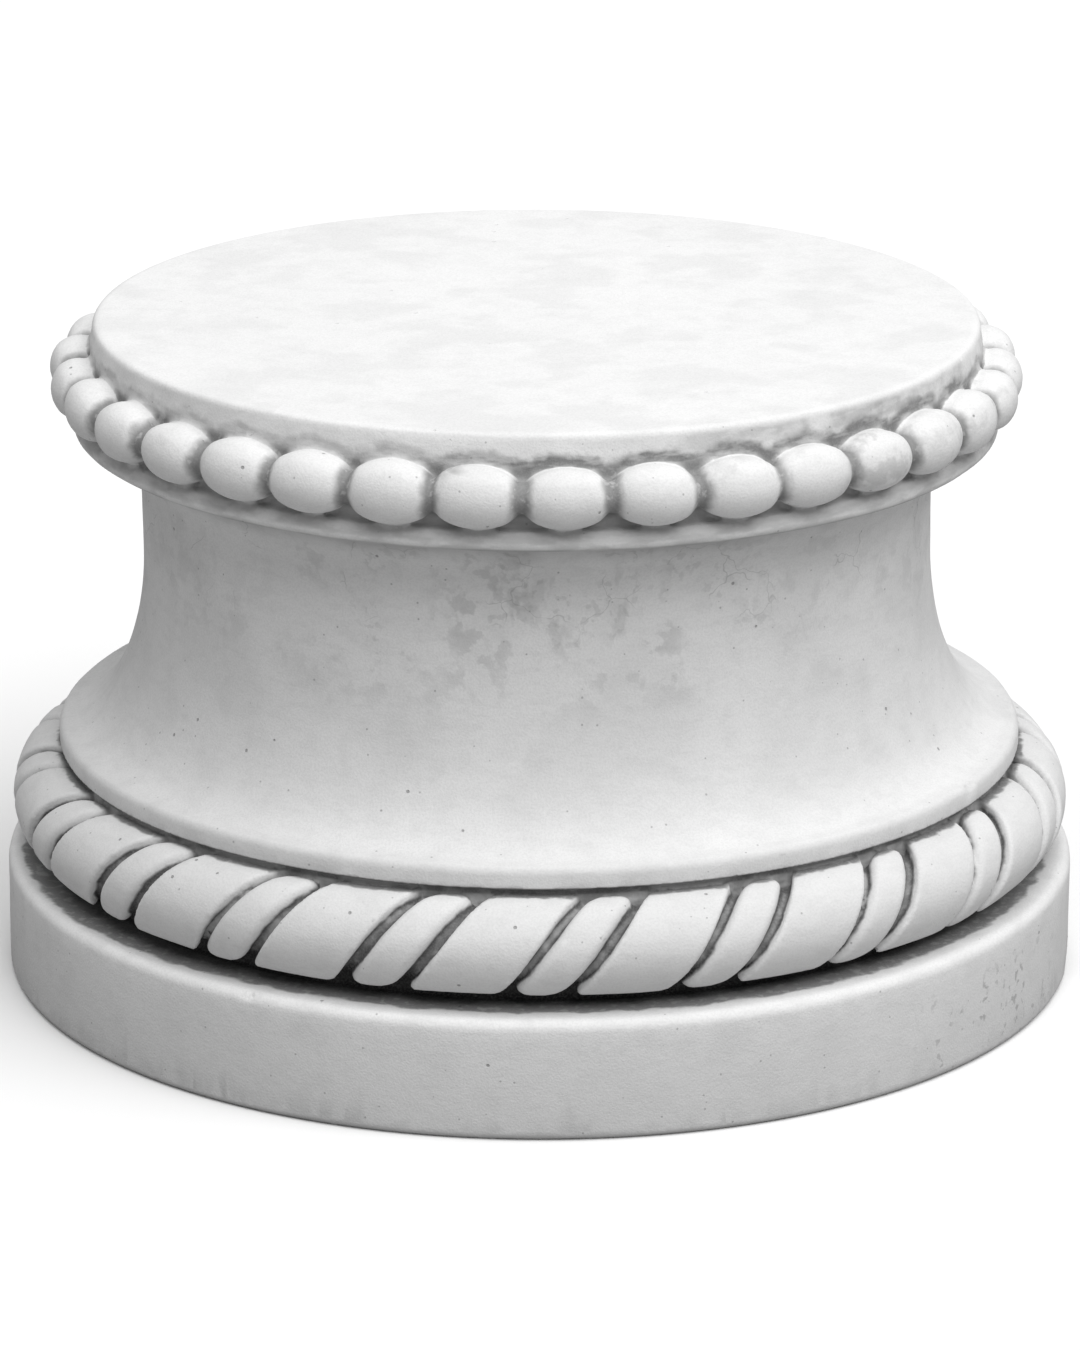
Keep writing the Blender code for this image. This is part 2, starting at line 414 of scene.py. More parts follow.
# %% Set the strands and the beads round the body
STRAND_SLIPS = (
    (0, 1, 2, 3, 4, 7, 12, 17, 18, 19, 20),
    (0.0, -0.3, -0.6, -1.3, -2.0, -1.0, 0.0, 0.0, 0.0, -0.4, 0.0),
)
BEAD_SLIPS = (
    (0, 1, 2, 3, 4, 6, 13, 26, 30, 31, 32, 33, 34),
    (0.0, 0.0, -0.2, -0.7, -1.2, -1.5, 0.0, 0.3, 1.2, 0.8, 0.5, 0.1, 0.0),
)
STRAND_SPREAD = 0.002
PLACE_SPREAD = 0.0006
BEAD_SPREAD = (0.02, 0.03, 0.03)
BEAD_HEIGHT_SPREAD = 0.0005
BEAD_TIP = 0.06
handwork = random.Random(7)


def slip_of(number, slips):
    """The slip of one place, in radians."""
    return math.radians(float(np.interp(number, *slips)))


def set_round(model, angle, radius, height, size=(1, 1, 1), tip=0.0):
    """A copy of a carved piece, with a mesh of its own, at an angle from the front."""
    copy = bpy.data.objects.new(model.name + "_copy", model.data.copy())
    bpy.context.scene.collection.objects.link(copy)
    copy.matrix_world = (
        Matrix.Rotation(angle, 4, "Z")
        @ Matrix.Translation((0, -radius, height))
        @ Matrix.Rotation(tip, 4, "Y")
        @ Matrix.Diagonal((*size, 1))
    )
    return copy


def astray(spread):
    """A small amount to either side, as hand work goes astray."""
    return handwork.uniform(-spread, spread)


carved = []
quarter = math.pi / 2
narrow_offset = (WIDE_STRAND + NARROW_STRAND) / 2 + STRAND_GROOVE
for number in range(pair_count):
    wide_angle = ROPE_START + pair_turn * number + slip_of(number, STRAND_SLIPS) - quarter
    widening = slip_of(number + 1, STRAND_SLIPS) - slip_of(number, STRAND_SLIPS)
    narrow_angle = wide_angle + narrow_offset / rope_outer + widening / 2
    for model, angle in ((wide_strand, wide_angle), (narrow_strand, narrow_angle)):
        swell = 1 + astray(STRAND_SPREAD)
        slip = astray(PLACE_SPREAD) / rope_outer
        carved.append(set_round(model, angle + slip, 0, 0, (swell, swell, 1)))
bead_places = []
for number in range(bead_count):
    size = tuple(1 + astray(spread) for spread in BEAD_SPREAD)
    angle = BEAD_START + bead_turn * number + slip_of(number, BEAD_SLIPS)
    angle += astray(PLACE_SPREAD) / bead_ring
    height = bead_middle + astray(BEAD_HEIGHT_SPREAD)
    tip = astray(BEAD_TIP)
    carved.append(set_round(bead, angle, bead_ring, height, size, tip))
    bead_places.append((angle, height, *size))
for model in (wide_strand, narrow_strand, bead):
    bpy.data.objects.remove(model)
print("Set round the body:", len(carved), "carved pieces")

# %% [markdown]
# ## Casting
# Now the model is cast. Joining puts all pieces in one mesh, but they still pass through each
# other. A voxel remesh fills the whole with tiny cubes and lays one new skin over them, so
# beads and strands grow out of the body as they do in a casting, and a light smoothing takes
# the edges off as a mould does. Boolean unions could join the pieces too, but they leave the
# seams knife-sharp.

# %% Cast the pieces as one
VOXEL = 0.0012
bpy.ops.object.select_all(action="DESELECT")
for piece in (*carved, rope_core, bead_web, body):
    piece.select_set(True)
bpy.context.view_layer.objects.active = body
bpy.ops.object.join()
add_modifier(body, "REMESH", mode="VOXEL", voxel_size=VOXEL)
add_modifier(body, "SMOOTH", factor=0.5, iterations=2)
print("Cast skin:", len(body.data.polygons), "faces")

# %% [markdown]
# ## Hand work and knocks
# A casting from a hand-made mould isn't a perfect figure of revolution. Three small faults make
# it real. A soft cloud texture drives a Displace modifier, which lets the surface wander by a
# fraction of a millimetre. The upper part sits nearly two millimetres to one side. And
# the foot and the edges have lost a few chips: a chip leaves a shallow bowl of broken stone,
# so the points that stand outside such a bowl are laid down on it, a little unevenly.
# The flat top and the underside are left out of the wandering, so that the pedestal stands
# level.

# %% Let the surface wander
WANDER = 0.0009
WANDER_SCALE = 0.055
KEPT_FLAT = 0.0030

clouds = bpy.data.textures.new("wandering", "CLOUDS")
clouds.noise_scale = WANDER_SCALE
clouds.noise_depth = 2
heights = np.array([vertex.co.z for vertex in body.data.vertices])
free_points = np.nonzero((heights > KEPT_FLAT) & (heights < top - KEPT_FLAT))[0]
sides = body.vertex_groups.new(name="sides")
sides.add(free_points.tolist(), 1.0, "REPLACE")
add_modifier(
    body,
    "DISPLACE",
    texture=clouds,
    texture_coords="LOCAL",
    strength=WANDER,
    mid_level=0.5,
    vertex_group=sides.name,
)
body.vertex_groups.clear()
print("Points that may wander:", len(free_points), "of", len(heights))

# %% Knock the chips off
SLIP = 0.0018
ROUGHNESS_OF_BREAK = 0.0004
RIPPLES_PER_METRE = np.array((2900.0, 2300.0, 3100.0))


def front_point(angle, radius, height):
    """A point at an angle in degrees from the front, counted towards the right."""
    turned = math.radians(angle)
    return np.array((radius * math.sin(turned), -radius * math.cos(turned), height))


def chip(points, place, outward, depth, reach):
    """Lay what stands outside a shallow bowl, near a place, down on that bowl."""
    outward = outward / np.linalg.norm(outward)
    from_place = points - place
    away = np.linalg.norm(from_place, axis=1) / reach
    bowl = depth * (1 - away**2)
    above = from_place @ outward + bowl
    ripple = np.sin(points @ RIPPLES_PER_METRE) * ROUGHNESS_OF_BREAK
    broken = (away < 1) & (above > 0)
    laid_down = above[broken] + ripple[broken] * bowl[broken] / depth
    points[broken] -= np.outer(laid_down, outward)


points = np.empty(len(body.data.vertices) * 3, np.float32)
body.data.vertices.foreach_get("co", points)
points = points.reshape(-1, 3).astype(float)
share_up = np.clip((points[:, 2] - BASE_HEIGHT) / (neck_top - BASE_HEIGHT), 0, 1)
points[:, 0] -= SLIP * share_up * share_up * (3 - 2 * share_up)
CHIPS = (
    # Angle, radius and height of the edge, how steeply it faces down or up, depth, reach
    (84, BASE_RADIUS, 0.000, -0.45, 0.0055, 0.024),
    (-31, BASE_RADIUS, BASE_HEIGHT, 1.0, 0.0026, 0.008),
    (61, RIM_RADIUS, rim_top, 1.0, 0.0028, 0.009),
    (-148, BASE_RADIUS, BASE_HEIGHT, 0.8, 0.0036, 0.012),
    (137, DISC_RADIUS, top, 0.9, 0.0026, 0.009),
)
for angle, radius, height, steepness, depth, reach in CHIPS:
    outward = front_point(angle, 1, steepness)
    chip(points, front_point(angle, radius, height), outward, depth, reach)
points[:, 2] = np.clip(points[:, 2], 0, top)
body.data.vertices.foreach_set("co", points.astype(np.float32).ravel())
body.data.update()
print("Knocked off", len(CHIPS), "chips")

# %% [markdown]
# ## Fewer, better placed triangles
# The cast skin has over a million triangles, as many on the flat top as in the carving. A
# Decimate modifier merges points where the surface is flat and leaves them where it bends,
# so the beads and the rope keep their shape in a mesh that is light enough to share.

# %% Thin the mesh out
TRIANGLES = 186000

triangle_count = sum(len(face.vertices) - 2 for face in body.data.polygons)
kept_share = min(1.0, TRIANGLES / triangle_count)
add_modifier(body, "DECIMATE", ratio=kept_share, use_collapse_triangulate=True)
pick_up(body)
bpy.ops.object.shade_smooth()
print("From", triangle_count, "to", len(body.data.polygons), "triangles")

# %% [markdown]
# ## Where dirt stays and where rain reaches
# Dirt stays in hollows, and rain keeps open ground white. Both can be measured: from each
# point, rays go out to all sides. If many stop after a few millimetres, the point lies in a
# hollow. If those that go up get away, rain can reach it. A third value says where the
# surface stands out as an edge, which hands and brooms keep clean. Two more say how near the
# next bead is, as a share of its size, and how close to the bead's end: dirt follows the
# beads closely. All are stored as attributes of the points, and the material reads them.
# A baked picture could hold the same, but it needs a flat unwrapping of this carved skin,
# and attributes need none.

# %% Choose the rays
HOLLOW_REACH = 0.011
SKY_REACH = 0.30
RAYS = 56
RAY_START = 0.0003
LEAST_SLANT = 0.12
SOFTENING = 2

mesh = body.data
mesh.calc_loop_triangles()
skin = BVHTree.FromPolygons(
    [vertex.co for vertex in mesh.vertices], [face.vertices for face in mesh.polygons]
)
golden = math.pi * (3 - math.sqrt(5))
directions = []
for number in range(RAYS):
    rise = 1 - 2 * (number + 0.5) / RAYS
    flat = math.sqrt(1 - rise * rise)
    directions.append(
        Vector((flat * math.cos(golden * number), flat * math.sin(golden * number), rise))
    )
print("Rays from each point:", len(directions))

# %% Measure hollows and sky
hollow = np.zeros(len(mesh.vertices))
sky = np.zeros(len(mesh.vertices))
for number, vertex in enumerate(mesh.vertices):
    normal = vertex.normal
    start = vertex.co + normal * RAY_START
    weight_sum = near_sum = sky_weight = sky_sum = 0.0
    for direction in directions:
        slant = direction.dot(normal)
        if slant < LEAST_SLANT:
            continue
        distance = skin.ray_cast(start, direction, SKY_REACH)[3]
        weight_sum += slant
        if distance is not None and distance < HOLLOW_REACH:
            near_sum += slant * (1 - distance / HOLLOW_REACH)
        if direction.z > 0:
            sky_weight += slant * direction.z
            if distance is None:
                sky_sum += slant * direction.z
    hollow[number] = near_sum / max(weight_sum, LEAST_SLANT)
    sky[number] = sky_sum / max(sky_weight, LEAST_SLANT)
print("Rays were sent from", len(hollow), "points")


# %% Measure how the surface bends
def soften(values, ends, rounds):
    """Average a value over each point and its neighbours, some number of times."""
    for _ in range(rounds):
        total = values.copy()
        count = np.ones(len(values))
        for here, there in ((0, 1), (1, 0)):
            np.add.at(total, ends[:, here], values[ends[:, there]])
            np.add.at(count, ends[:, here], 1)
        values = total / count
    return values


ends = np.empty(len(mesh.edges) * 2, np.int32)
mesh.edges.foreach_get("vertices", ends)
ends = ends.reshape(-1, 2)
places = np.array([vertex.co for vertex in mesh.vertices])
normals = np.array([vertex.normal for vertex in mesh.vertices])
bend = np.zeros(len(places))
count = np.zeros(len(places))
span = places[ends[:, 1]] - places[ends[:, 0]]
length_squared = (span**2).sum(axis=1)
for here, sign in ((0, -1), (1, 1)):
    rise = sign * (span * normals[ends[:, here]]).sum(axis=1) / length_squared
    np.add.at(bend, ends[:, here], rise)
    np.add.at(count, ends[:, here], 1)
bend = bend / np.maximum(count, 1)
print("Hollow, sky and bend are measured")

# %% Measure how near the beads each point lies
around = np.arctan2(places[:, 0] + SLIP, -places[:, 1])
from_axis = np.hypot(places[:, 0] + SLIP, places[:, 1])
bead_near = np.full(len(places), 9.0)
bead_end = np.zeros(len(places))
for angle, height, long, deep, high in bead_places:
    turned = (around - angle + math.pi) % math.tau - math.pi
    lengthwise = turned * bead_ring / (BEAD_LENGTH / 2 * long)
    outwards = (from_axis - bead_ring) / (BEAD_DEPTH * deep)
    upwards = (places[:, 2] - height) / (BEAD_HEIGHT / 2 * high)
    share = np.sqrt(lengthwise**2 + outwards**2 + upwards**2)
    nearest = share < bead_near
    bead_near[nearest] = share[nearest]
    bead_end[nearest] = np.abs(lengthwise[nearest])

# %% Store the values with the points
for name, values in (
    ("hollow", soften(hollow, ends, SOFTENING)),
    ("sky", soften(sky, ends, SOFTENING)),
    ("edge", soften(bend, ends, SOFTENING)),
    ("bead_near", bead_near),
    ("bead_end", bead_end),
):
    attribute = mesh.attributes.new(name, "FLOAT", "POINT")
    attribute.data.foreach_set("value", values.astype(np.float32))
    marks = np.percentile(values, (1, 25, 50, 75, 99)).round(3)
    print(name, "at 1, 25, 50, 75 and 99 percent:", *marks)

# %% [markdown]
# ## Laying nodes in code
# A material is a small network. A few helpers keep its code as short as the drawing would be:
# they lay a node and fill or connect its inputs, do a sum, fade a value in between two limits,
# mix two colours, and make or place a group. Effects that come back with other sizes, such as
# clouds, air holes and cracks, are node groups with named inputs, made once.


# %% Helpers for nodes
def lay(tree, kind, inputs=None, **settings):
    """Add a node, make its choices, and fill or connect its inputs."""
    node = tree.nodes.new("ShaderNode" + kind)
    for name, value in settings.items():
        setattr(node, name, value)
    for name, value in (inputs or {}).items():
        if isinstance(value, bpy.types.NodeSocket):
            tree.links.new(value, node.inputs[name])
        else:
            node.inputs[name].default_value = value
    return node


def work_out(tree, operation, first, second=0.0):
    """One sum with one or two values."""
    return lay(tree, "Math", {0: first, 1: second}, operation=operation).outputs[0]


def fade(tree, value, low, high):
    """0 below one limit, 1 above the other, and a soft step between them."""
    limits = {"Value": value, "From Min": low, "From Max": high}
    return lay(tree, "MapRange", limits, interpolation_type="SMOOTHSTEP").outputs["Result"]


def tint(tree, amount, colour, new_colour):
    """Mix a colour with a new one."""
    mix = lay(tree, "Mix", {0: amount, 6: colour, 7: new_colour}, data_type="RGBA")
    return mix.outputs[2]


def grey(value):
    """A neutral colour."""
    return (value, value, value, 1.0)


def new_group(name, inputs, outputs):
    """A shader node group with named sockets, and its two end nodes."""
    group = bpy.data.node_groups.new(name, "ShaderNodeTree")
    for label, kind in inputs:
        group.interface.new_socket(label, in_out="INPUT", socket_type="NodeSocket" + kind)
    for label in outputs:
        group.interface.new_socket(label, in_out="OUTPUT", socket_type="NodeSocketFloat")
    given = group.nodes.new("NodeGroupInput").outputs
    wanted = group.nodes.new("NodeGroupOutput").inputs
    return group, given, wanted


def place_group(tree, group, inputs):
    """Put a group in a material with its own values, and give its first output."""
    node = tree.nodes.new("ShaderNodeGroup")
    node.node_tree = group
    for name, value in inputs.items():
        if isinstance(value, bpy.types.NodeSocket):
            tree.links.new(value, node.inputs[name])
        else:
            node.inputs[name].default_value = value
    return node.outputs[0]


# %% A group for clouds
clouds_group, given, wanted = new_group(
    "clouds", [("Place", "Vector"), ("Size", "Float")], ["Value"]
)
scale = work_out(clouds_group, "DIVIDE", 1.0, given["Size"])
noise = lay(clouds_group, "TexNoise", {"Vector": given["Place"], "Scale": scale, "Detail": 3.5})
clouds_group.links.new(noise.outputs[0], wanted["Value"])

# %% A group for air holes
holes_group, given, wanted = new_group(
    "air_holes",
    [("Place", "Vector"), ("Spacing", "Float"), ("Size", "Float"), ("Share", "Float")],
    ["Mask"],
)
scale = work_out(holes_group, "DIVIDE", 1.0, given["Spacing"])
cells = lay(holes_group, "TexVoronoi", {"Vector": given["Place"], "Scale": scale})
away_from_hole = work_out(holes_group, "MULTIPLY", cells.outputs["Distance"], given["Spacing"])
rim_of_hole = work_out(holes_group, "MULTIPLY", given["Size"], 0.55)
solid = fade(holes_group, away_from_hole, rim_of_hole, given["Size"])
hole = work_out(holes_group, "SUBTRACT", 1.0, solid)
draw = lay(holes_group, "SeparateColor", {"Color": cells.outputs["Color"]}).outputs[0]
chosen = work_out(holes_group, "LESS_THAN", draw, given["Share"])
mask = work_out(holes_group, "MULTIPLY", hole, chosen)
holes_group.links.new(mask, wanted["Mask"])

# %% A group for hairline cracks
cracks_group, given, wanted = new_group(
    "hairlines", [("Place", "Vector"), ("Size", "Float"), ("Width", "Float")], ["Mask"]
)
scale = work_out(cracks_group, "DIVIDE", 1.0, given["Size"])
wobble_scale = work_out(cracks_group, "MULTIPLY", scale, 2.5)
wobble = lay(
    cracks_group, "TexNoise", {"Vector": given["Place"], "Scale": wobble_scale, "Detail": 2.0}
)
wobbled = lay(
    cracks_group,
    "MixRGB",
    {0: 0.012, 1: given["Place"], 2: wobble.outputs["Color"]},
    blend_type="ADD",
)
plates = lay(
    cracks_group,
    "TexVoronoi",
    {"Vector": wobbled.outputs[0], "Scale": scale},
    feature="DISTANCE_TO_EDGE",
)
from_line = work_out(cracks_group, "MULTIPLY", plates.outputs["Distance"], given["Size"])
clear = fade(cracks_group, from_line, 0.0, given["Width"])
mask = work_out(cracks_group, "SUBTRACT", 1.0, clear)
cracks_group.links.new(mask, wanted["Mask"])
print("Groups:", [group.name for group in bpy.data.node_groups])

# %% [markdown]
# ## The stone
# Cast stone is white cement and marble dust. It's matt and nearly neutral in colour, with a
# fine grain and small air holes. Out of doors the hollows fill with dark dirt, the sheltered
# neck goes grey in runs below the lip, and open ground is washed white.
# The network follows that story: clean stone, then patina, then dirt, then holes and cracks,
# each laid over the one before. Shade is painted into the colour as well: just below the lip,
# round the beads, in the lower halves of the rope's grooves and in the channel under the rope.
# Dirt and shade aren't the same all round: the dark of the channel reaches further out at the
# left, and the disc's side and the foot are streaked at the right.

# %% Start the stone and read its surroundings
stone = bpy.data.materials.new("cast_stone_weathered")
stone.use_nodes = True
tree = stone.node_tree
shader = tree.nodes["Principled BSDF"]
place = lay(tree, "TexCoord").outputs["Object"]
across, along, height = lay(tree, "SeparateXYZ", {0: place}).outputs[:3]
toward_front = work_out(tree, "MULTIPLY", along, -1.0)
angle = work_out(tree, "ARCTAN2", across, toward_front)
hollow_value = lay(tree, "Attribute", attribute_name="hollow").outputs["Fac"]
sky_value = lay(tree, "Attribute", attribute_name="sky").outputs["Fac"]
edge_value = lay(tree, "Attribute", attribute_name="edge").outputs["Fac"]
bead_near_value = lay(tree, "Attribute", attribute_name="bead_near").outputs["Fac"]
bead_end_value = lay(tree, "Attribute", attribute_name="bead_end").outputs["Fac"]
rubbed = lay(tree, "Mapping", {"Vector": place, "Scale": (1.0, 1.0, 3.5)}).outputs[0]
running = lay(tree, "Mapping", {"Vector": place, "Scale": (1.0, 1.0, 0.35)}).outputs[0]
flat_place = lay(tree, "CombineXYZ", {0: across, 1: along, 2: 0.0}).outputs[0]
radius = lay(tree, "VectorMath", {0: flat_place}, operation="LENGTH").outputs["Value"]

# Sizes of clouds, from banks as broad as the neck down to specks
BROAD = 0.160
LARGE = 0.050
MIDDLING = 0.030
SMALL = 0.012
NARROW = 0.010
FINE = 0.008
SPECKS = 0.004
clouds_made = {}


def clouds_of(size, low, high, where=None):
    """A cloudy mask over the stone, with clouds of about this size in metres."""
    where = where or place
    key = (size, where.node.name)
    if key not in clouds_made:
        clouds_made[key] = place_group(tree, clouds_group, {"Place": where, "Size": size})
    return fade(tree, clouds_made[key], low, high)


def band(value, low, full, still_full, high):
    """A mask that fades in between the first two values and out between the last two."""
    rising = fade(tree, value, low, full)
    falling = fade(tree, value, still_full, high)
    return work_out(tree, "SUBTRACT", rising, falling)


def times(first, *others):
    """Several masks or strengths multiplied together."""
    for other in others:
        first = work_out(tree, "MULTIPLY", first, other)
    return first


def between(mask, low, high):
    """A strength that goes from one value to another as a mask goes from 0 to 1."""
    strength = work_out(tree, "MULTIPLY_ADD", mask, high - low)
    strength.node.inputs[2].default_value = low
    return strength


def frayed(value, size, amount):
    """A value whose limits wander by this amount to both sides, in clouds of this size."""
    wandering = between(clouds_of(size, 0.30, 0.70), -amount, amount)
    return work_out(tree, "ADD", value, wandering)


# %% Clean stone, the grey of sheltered places, and a drum darker towards the foot
colour = tint(tree, clouds_of(BROAD, 0.35, 0.70), grey(0.82), grey(0.78))
colour = tint(tree, times(clouds_of(MIDDLING, 0.45, 0.70), 0.25), colour, grey(0.70))
colour = tint(tree, times(clouds_of(SMALL, 0.46, 0.68, rubbed), 0.20), colour, grey(0.64))
colour = tint(tree, times(clouds_of(SMALL, 0.50, 0.66), 0.16), colour, grey(0.60))
on_top = fade(tree, height, top - 0.0016, top - 0.0004)
colour = tint(tree, times(on_top, 0.35), colour, grey(0.90))
colour = tint(tree, times(on_top, clouds_of(MIDDLING, 0.46, 0.62), 0.30), colour, grey(0.70))
sheltered = fade(tree, sky_value, 0.75, 0.10)
above_rim = fade(tree, height, rim_top, rim_top + 0.004)
colour = tint(tree, times(sheltered, between(above_rim, 0.40, 0.12)), colour, grey(0.50))
# The drum is darker towards the foot.
on_drum = fade(tree, height, BASE_HEIGHT - 0.0012, BASE_HEIGHT - 0.0112)
low_on_drum = fade(tree, height, BASE_HEIGHT - 0.0052, 0.0)
colour = tint(tree, times(on_drum, between(low_on_drum, 0.24, 0.52)), colour, grey(0.52))
rope_foot = BASE_HEIGHT + ROPE_CHANNEL
on_rope = band(height, rope_foot - 0.0004, rope_foot + 0.0036, rim_top - 0.001, rim_top + 0.001)
colour = tint(tree, times(on_rope, 0.22), colour, grey(0.50))
on_neck = band(height, rim_top, rim_top + 0.020, waist_top + 0.006, neck_top - 0.002)
smudges = times(clouds_of(LARGE, 0.46, 0.64), on_neck)
colour = tint(tree, times(smudges, 0.16), colour, grey(0.48))
low_on_neck = band(height, rim_top, rim_top + 0.020, flare_top - 0.035, flare_top + 0.005)
colour = tint(tree, times(low_on_neck, 0.12), colour, grey(0.52))
on_lip = band(height, neck_top, neck_top + 0.001, lip_top - 0.001, lip_top + 0.001)
lip_patina = between(clouds_of(SMALL, 0.40, 0.60, rubbed), 0.12, 0.42)
colour = tint(tree, times(on_lip, lip_patina), colour, grey(0.40))

# %% Painted shade just below the lip, and grey of the neck in patches and runs
in_front = band(angle, -0.80, -0.30, 0.30, 0.70)
# Just below the lip the neck is painted darker: painted shade under the overhang.
neck_shade = band(height, waist_top + 0.014, neck_top - 0.001, neck_top + 0.0005, neck_top + 0.002)
shade_strength = between(clouds_of(MIDDLING, 0.35, 0.65), 0.50, 0.80)
colour = tint(tree, times(neck_shade, shade_strength), colour, grey(0.30))
upper_neck = band(height, flare_top - 0.035, flare_top + 0.005, neck_top - 0.005, neck_top + 0.001)
patch_zone = times(upper_neck, between(in_front, 0.30, 1.0))
gathered = clouds_of(LARGE, 0.44, 0.56)
blots = frayed(clouds_of(SMALL, 0.0, 1.0), SPECKS, 0.10)
patches = times(fade(tree, blots, 0.53, 0.64), gathered, patch_zone)
colour = tint(tree, times(patches, 0.24), colour, grey(0.30))
specks = times(clouds_of(SPECKS, 0.55, 0.63), clouds_of(MIDDLING, 0.42, 0.60), patch_zone)
colour = tint(tree, times(specks, 0.20), colour, grey(0.26))
runs = times(clouds_of(NARROW, 0.56, 0.63, running), clouds_of(MIDDLING, 0.46, 0.60), patch_zone)
colour = tint(tree, times(runs, 0.22), colour, grey(0.34))

# %% Dirt in the hollows
hollow_edge = frayed(hollow_value, FINE, 0.07)
at_left = fade(tree, angle, -0.50, -1.10)
from_channel = work_out(tree, "SUBTRACT", radius, times(at_left, 0.0035))
off_arris = fade(tree, from_channel, BASE_RADIUS - 0.0085, BASE_RADIUS - 0.0105)
above_base = fade(tree, height, BASE_HEIGHT + 0.0005, BASE_HEIGHT + 0.0030)
kept_dirty = work_out(tree, "MAXIMUM", off_arris, above_base)
in_course = band(height, lip_top - 0.002, lip_top, disc_foot - 0.002, disc_foot)
dirt = times(fade(tree, hollow_edge, 0.18, 0.44), kept_dirty, between(in_course, 0.85, 0.42))
colour = tint(tree, dirt, colour, grey(0.26))

# %% Dirt and painted shade in the channel under the rope, and dirt in the gap above it
low_in_channel = fade(tree, height, BASE_HEIGHT + 0.0023, BASE_HEIGHT + 0.0013)
above_foot = fade(tree, height, BASE_HEIGHT - 0.0112, BASE_HEIGHT - 0.0062)
channel_limit = frayed(from_channel, SMALL, 0.0014)
off_edge = fade(tree, channel_limit, BASE_RADIUS - 0.0090, BASE_RADIUS - 0.0116)
in_channel = times(off_edge, low_in_channel)
channel_strength = between(clouds_of(SPECKS, 0.52, 0.66), 0.92, 0.68)
colour = tint(tree, times(in_channel, above_foot, channel_strength), colour, grey(0.20))
# Next to the rope the channel gets a nearly black band: dirt and painted shadow of the rope.
shadow_near_rope = fade(tree, channel_limit, inside_rope + 0.0110, inside_rope + 0.0050)
colour = tint(tree, times(shadow_near_rope, low_in_channel, above_foot, 0.72), colour, grey(0.06))
# Under the rope's core the stone is painted nearly black: painted shadow under the rope.
behind_rope = fade(tree, radius, inside_rope + 0.0055, inside_rope + 0.0030)
core_foot = rope_middle - 0.0118
below_core = band(height, BASE_HEIGHT - 0.0007, BASE_HEIGHT + 0.0003, core_foot, core_foot + 0.0015)
shadow_under_core = times(behind_rope, below_core)
colour = tint(tree, times(shadow_under_core, 0.95), colour, grey(0.03))
rope_top = rim_foot - RIM_GAP
in_gap = times(
    band(height, rope_top - 0.0012, rope_top, rim_foot + 0.0003, rim_foot + 0.0010),
    fade(tree, frayed(radius, FINE, 0.0010), RIM_RADIUS + 0.0025, RIM_RADIUS + 0.0005),
)
gap_strength = between(clouds_of(SPECKS, 0.52, 0.66), 0.90, 0.55)
colour = tint(tree, times(in_gap, gap_strength), colour, grey(0.15))

# %% Dirt in the grooves of the rope, and painted shade in their lower halves
beyond_ring = work_out(tree, "SUBTRACT", radius, rope_ring)
above_middle = work_out(tree, "SUBTRACT", height, rope_middle)
in_section = lay(tree, "CombineXYZ", {0: beyond_ring, 1: above_middle, 2: 0.0}).outputs[0]
from_ring = lay(tree, "VectorMath", {0: in_section}, operation="LENGTH").outputs["Value"]
depth = work_out(tree, "SUBTRACT", ROPE_THICKNESS / 2, from_ring)
depth = frayed(depth, FINE, 0.0005)
in_groove = fade(tree, depth, 0.0025, 0.0042)
scrubbed = times(clouds_of(SPECKS, 0.56, 0.66), clouds_of(MIDDLING, 0.42, 0.56))
colour = tint(tree, times(in_groove, between(scrubbed, 0.97, 0.80)), colour, grey(0.075))
# The lower halves of the grooves, which face down, are painted nearly black: painted shade.
half_dark = rope_middle - 0.0108
lower_half = band(height, BASE_HEIGHT + 0.0010, BASE_HEIGHT + 0.0018, half_dark, half_dark + 0.0065)
shade_low_in_grooves = times(in_groove, lower_half)
colour = tint(tree, times(shade_low_in_grooves, 0.95), colour, grey(0.012))

# %% Dirt and painted shade round the beads
bead_edge = frayed(bead_near_value, FINE, 0.09)
above_beads = fade(tree, height, disc_foot - 0.009, disc_foot - 0.004)
below_beads = fade(tree, height, lip_top + 0.008, lip_top + 0.004)
off_bead = fade(tree, bead_near_value, 1.04, 1.09)
at_crown = fade(tree, height, disc_foot - 0.0055, disc_foot - 0.0040)
off_crown = times(fade(tree, bead_near_value, 1.025, 1.065), at_crown)
off_bead = work_out(tree, "MAXIMUM", off_bead, off_crown)
round_beads = times(band(bead_edge, 0.92, 1.00, 1.32, 1.62), off_bead)
right_front = band(angle, -0.45, 0.00, 1.10, 1.50)
streaked = between(clouds_of(SMALL, 0.40, 0.60, rubbed), 0.60, 1.0)
# Next to the beads, above and below them, the stone is darkened by dirt and painted shade.
soot_and_shade = times(round_beads, above_beads, between(right_front, 0.45, 0.95), streaked)
colour = tint(tree, soot_and_shade, colour, grey(0.18))
soot_and_shade = times(band(bead_edge, 1.00, 1.06, 1.14, 1.36), below_beads, off_bead)
colour = tint(tree, times(soot_and_shade, 0.45), colour, grey(0.20))
on_lip_top = band(height, neck_top + 0.0030, neck_top + 0.0050, lip_top + 0.0035, lip_top + 0.0060)
# Under the beads the top of the lip is darker.
under_beads = times(on_lip_top, off_bead)
colour = tint(tree, times(under_beads, 0.34), colour, grey(0.26))
in_middle = band(height, lip_top + 0.0040, lip_top + 0.0080, disc_foot - 0.0065, disc_foot - 0.0020)
webs = times(off_bead, fade(tree, bead_end_value, 0.48, 0.84))
bead_ends = fade(tree, frayed(bead_end_value, FINE, 0.04), 0.66, 0.88)
end_dirt = times(work_out(tree, "MAXIMUM", webs, bead_ends), in_middle)
end_strength = between(clouds_of(SPECKS, 0.57, 0.66), 0.88, 0.60)
colour = tint(tree, times(end_dirt, end_strength), colour, grey(0.18))

